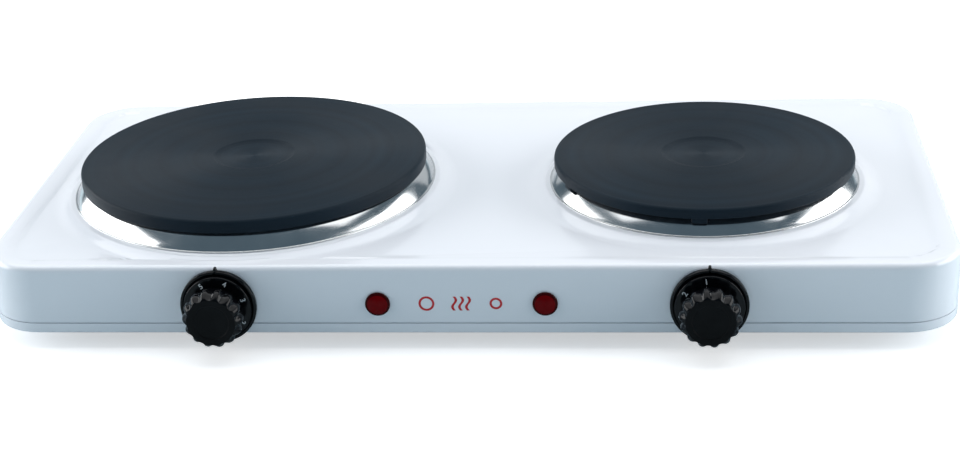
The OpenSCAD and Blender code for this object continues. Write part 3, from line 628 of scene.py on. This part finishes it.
def wave(x, height, width, swing):
    """Upright wavy stroke in the XY plane, in millimetres."""
    bm = bmesh.new()
    bmesh.ops.create_grid(bm, x_segments=1, y_segments=28, size=0.5)
    bmesh.ops.scale(bm, vec=(width * MM, height * MM, 1), verts=bm.verts)
    for vert in bm.verts:
        vert.co.x += (x + swing * math.sin(vert.co.y / MM / height * 2 * math.pi)) * MM
    return bm


def heat_mark():
    """Generic sign between the lamps: three rising waves of heat between two round plates."""
    lamp_z = middle("left_lamp_lens").z
    bm = wave(-3.4, 7.5, 1.3, 0.9)
    for x in (0, 3.4):
        join(bm, wave(x, 7.5, 1.3, 0.9))
    bmesh.ops.solidify(bm, geom=bm.faces[:], thickness=-0.04 * MM)
    for x, radius in ((-17, 3.9), (17, 3.1)):
        ring = lathe([(radius, 0), (radius, 0.04), (radius - 1.1, 0.04), (radius - 1.1, 0)], 48)
        join(bm, move(ring, Matrix.Translation((x * MM, 0, 0))))
    close(bm)
    centre_x = (middle("left_lamp_lens").x + middle("right_lamp_lens").x) / 2
    move(bm, Matrix.Translation((centre_x, WALL_Y - 0.01 * MM, lamp_z)) @ FACING_FRONT)
    piece("heat_mark", bm, RED_INK, "housing", None)


for side in SIDES:
    lens(side)
heat_mark()

# ---- feet, screws and cable gland ----


def foot(name):
    """Rubber foot with a rounded sole, two grip grooves and a deep screw recess."""
    low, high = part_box(name)
    centre = (low + high) / 2
    top = (high.x - low.x) / 2 / MM
    height = high.z / MM
    sole = top - 1.5
    outline = [(3.8, 0, 0.5), (sole - 2.6, 0), (sole - 2.2, 0.6, 0.2), (sole - 1.8, 0),
               (sole, 0, 0.9), (top - 0.9, 3.4), (top - 1.3, 3.9, 0.3), (top - 0.7, 4.4),
               (top, height, 0.4), (2, height), (2, height - 4), (3.8, height - 4)]
    bm = lathe(outline, steps=72)
    move(bm, Matrix.Translation((centre.x, centre.y, 0)))
    piece(name.replace("foot", "rubber_foot"), bm, RUBBER, "housing", "foot_rubber", name)


for name in ("foot_front_left", "foot_front_right", "foot_rear_left", "foot_rear_right"):
    foot(name)


def screw(head_radius, head_height, thread_radius, length):
    """Pan-head screw pointing up, its head's underside at z = 0, with a cross recess."""
    pitch = 0.7
    thread = []
    for turn in range(int(length / pitch)):
        thread += [(thread_radius - 0.25, turn * pitch), (thread_radius, (turn + 0.5) * pitch)]
    outline = [(0, -head_height), (head_radius - 0.2, -head_height, head_height * 0.6),
               (head_radius, 0, 0.2), (thread_radius, 0), *thread, (thread_radius - 0.6, length),
               (0, length)]
    bm = lathe(outline, steps=32, whole=False)
    arm = head_radius * 0.62
    half = 0.42
    for x, y, depth in ((arm, half, 1.1), (half, arm, 1.0)):
        slot = block((-x, -y, -head_height - 1), (x, y, -head_height + depth), 0.12)
        bm = cut(bm, slot)
    return bm


def screws(name, source, places, head_height, head_radius, thread_radius, tip, material, slot):
    """A group of equal screws that stands for one CAD node."""
    group = bmesh.new()
    for x, y, z in places:
        shape = screw(head_radius, head_height, thread_radius, tip)
        join(group, move(shape, Matrix.Translation((x, y, z))))
    piece(name, group, material, "housing", slot, source)


PAN_SCREW_LOW, PAN_SCREW_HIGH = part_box("pan_screws")
FOOT_SCREW_LOW, FOOT_SCREW_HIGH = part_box("foot_screws")
HEAD_R, HEAD_H, THREAD_R = 3.5, 2, 1.95
pan_head_z = PAN_SCREW_LOW.z + HEAD_H * MM
foot_head_z = FOOT_SCREW_LOW.z + HEAD_H * MM
screws("pan_fixing_screws", "pan_screws",
       [(x, y, pan_head_z) for x in (PAN_SCREW_LOW.x + HEAD_R * MM, PAN_SCREW_HIGH.x - HEAD_R * MM)
        for y in (PAN_SCREW_LOW.y + HEAD_R * MM, PAN_SCREW_HIGH.y - HEAD_R * MM)],
       HEAD_H, HEAD_R, THREAD_R, (PAN_SCREW_HIGH.z - pan_head_z) / MM, ZINC, "zinc_steel")
screws("foot_fixing_screws", "foot_screws",
       [(x, y, foot_head_z) for x in (FOOT_SCREW_LOW.x + HEAD_R * MM, FOOT_SCREW_HIGH.x - HEAD_R * MM)
        for y in (FOOT_SCREW_LOW.y + HEAD_R * MM, FOOT_SCREW_HIGH.y - HEAD_R * MM)],
       HEAD_H, HEAD_R, THREAD_R, (FOOT_SCREW_HIGH.z - foot_head_z) / MM, ZINC, "zinc_steel")


def gland():
    """Moulded gland: a ribbed, domed flange outside the back wall and a stem through it."""
    low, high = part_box("cable_gland")
    centre = (low + high) / 2
    flange = (high.y - BACK_Y) / MM
    inside = (BACK_Y - low.y) / MM
    radius = (high.x - low.x) / 2 / MM
    outline = [(3.6, -inside, 0.4), (6.4, -inside, 0.4), (6.4, -0.05), (radius, 0, 0.3),
               (radius, flange - 0.8, 0.5), (radius - 2, flange, 0.6), (4.6, flange, 0.5),
               (3.6, flange - 1, 0.4)]
    bm = lathe(outline, steps=144)
    scallop(bm, 18, 0.45, radius - 1.4, radius - 0.6, 0.2, 0)
    move(bm, Matrix.Translation((centre.x, BACK_Y, centre.z)) @ FACING_BACK)
    piece("cable_inlet", bm, NYLON, "housing", "black_nylon", "cable_gland")


gland()

# ---- camera, floor and light ----

CAMERA_PLACE = (0.0912, -0.9349, 0.4249)
CAMERA_YAW = math.radians(6.28)
CAMERA_PITCH = math.radians(22.9)
CAMERA_ROLL = math.radians(-2.81)
FLOOR_REACH = 30
FLOOR_GLOW = 0.5


def camera():
    """Long lens looking down at the front from a little to the right."""
    made = bpy.data.objects.new("camera", bpy.data.cameras.new("camera"))
    bpy.context.scene.collection.objects.link(made)
    made.data.lens = 70.9
    made.data.sensor_width = 36
    made.data.shift_x = 0.0237
    made.data.shift_y = -0.0145
    made.matrix_world = (Matrix.Translation(CAMERA_PLACE)
                         @ Matrix.Rotation(CAMERA_YAW, 4, "Z")
                         @ Matrix.Rotation(math.pi / 2 - CAMERA_PITCH, 4, "X")
                         @ Matrix.Rotation(CAMERA_ROLL, 4, "Z"))
    bpy.context.scene.camera = made


def floor():
    """Square of floor, wide enough to fill the view from any side."""
    bm = bmesh.new()
    bmesh.ops.create_grid(bm, x_segments=1, y_segments=1, size=FLOOR_REACH)
    mesh = bpy.data.meshes.new("floor")
    bm.to_mesh(mesh)
    bm.free()
    mesh.materials.append(matt_floor())
    made = bpy.data.objects.new("floor", mesh)
    bpy.context.scene.collection.objects.link(made)


def softbox(name, place, target, width, height, brightness, colour="#FFFFFF"):
    """Soft light of a given brightness that faces a target and isn't seen itself."""
    lamp = bpy.data.lights.new(name, "AREA")
    lamp.shape = "RECTANGLE"
    lamp.size = width
    lamp.size_y = height
    lamp.color = linear(colour)[:3]
    lamp.energy = brightness * math.pi * width * height
    made = bpy.data.objects.new(name, lamp)
    bpy.context.scene.collection.objects.link(made)
    made.location = place
    made.rotation_euler = (Vector(target) - Vector(place)).to_track_quat("-Z", "Y").to_euler()
    made.visible_camera = False


def surroundings():
    """Cool grey room around the lights."""
    world = bpy.data.worlds.new("studio")
    world.use_nodes = True
    background = world.node_tree.nodes["Background"]
    background.inputs["Color"].default_value = linear("#8CA7B9")
    background.inputs["Strength"].default_value = 0.36
    bpy.context.scene.world = world


camera()
floor()
softbox("overhead", (0, 0.75, 1.7), (0, 0.75, 0), 3.2, 2.5, 1.5)
softbox("behind", (0, 2.1, 0.8), (0, 0, 0.1), 3.2, 1.3, 0.5)
softbox("left", (-1.35, 0.15, 0.45), (0, 0.15, 0.1), 1.7, 0.85, 3.7)
softbox("right", (1.35, 0.15, 0.45), (0, 0.15, 0.1), 1.7, 0.85, 3.7)
surroundings()
bpy.context.scene.view_settings.view_transform = "Standard"
